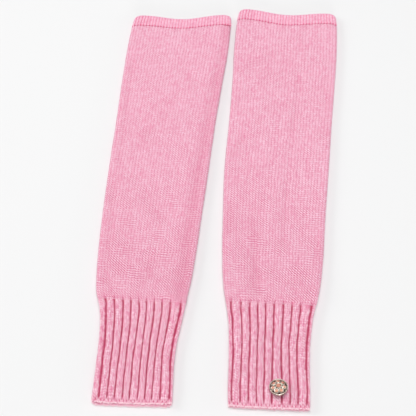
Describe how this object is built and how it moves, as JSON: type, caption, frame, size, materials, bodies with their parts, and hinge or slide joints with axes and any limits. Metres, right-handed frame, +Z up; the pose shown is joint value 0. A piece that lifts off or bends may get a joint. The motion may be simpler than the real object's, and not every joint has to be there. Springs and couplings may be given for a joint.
{
  "type": "pair of knitted arm warmers",
  "caption": "Pair of long knitted arm warmers laid flat side by side: ribbed cuffs, plain tubes that widen to a turned hem, and a round jewelled button sewn to one cuff.",
  "frame": {"origin": "on the surface that the pair lies on, under the middle of the pair", "axes": "+Z up from the surface, +Y from the cuffs towards the upper arm, +X to the right"},
  "size_m": [0.2574, 0.496, 0.0129],
  "materials": {
    "rib_knit": "soft pink wool-like two-by-one rib, matt and slightly fuzzy",
    "plain_knit": "soft mottled pink wool-like plain knit, matt and slightly fuzzy",
    "hem_knit": "soft pink wool-like fine knit, matt",
    "silver_metal": "bright warm silver plating",
    "peach_stone": "glossy clear peach stone"
  },
  "bodies": {
    "root": {"left_cuff": "rib_knit", "left_body": "plain_knit", "left_hem": "hem_knit", "right_cuff": "rib_knit", "right_body": "plain_knit", "right_hem": "hem_knit", "button_plate": "silver_metal", "button_rim": "silver_metal", "button_stone_centre": "peach_stone", "button_stone_1": "peach_stone", "button_stone_2": "peach_stone", "button_stone_3": "peach_stone", "button_stone_4": "peach_stone", "button_stone_5": "peach_stone", "button_stone_6": "peach_stone", "button_stone_7": "peach_stone"}
  },
  "joints": []
}
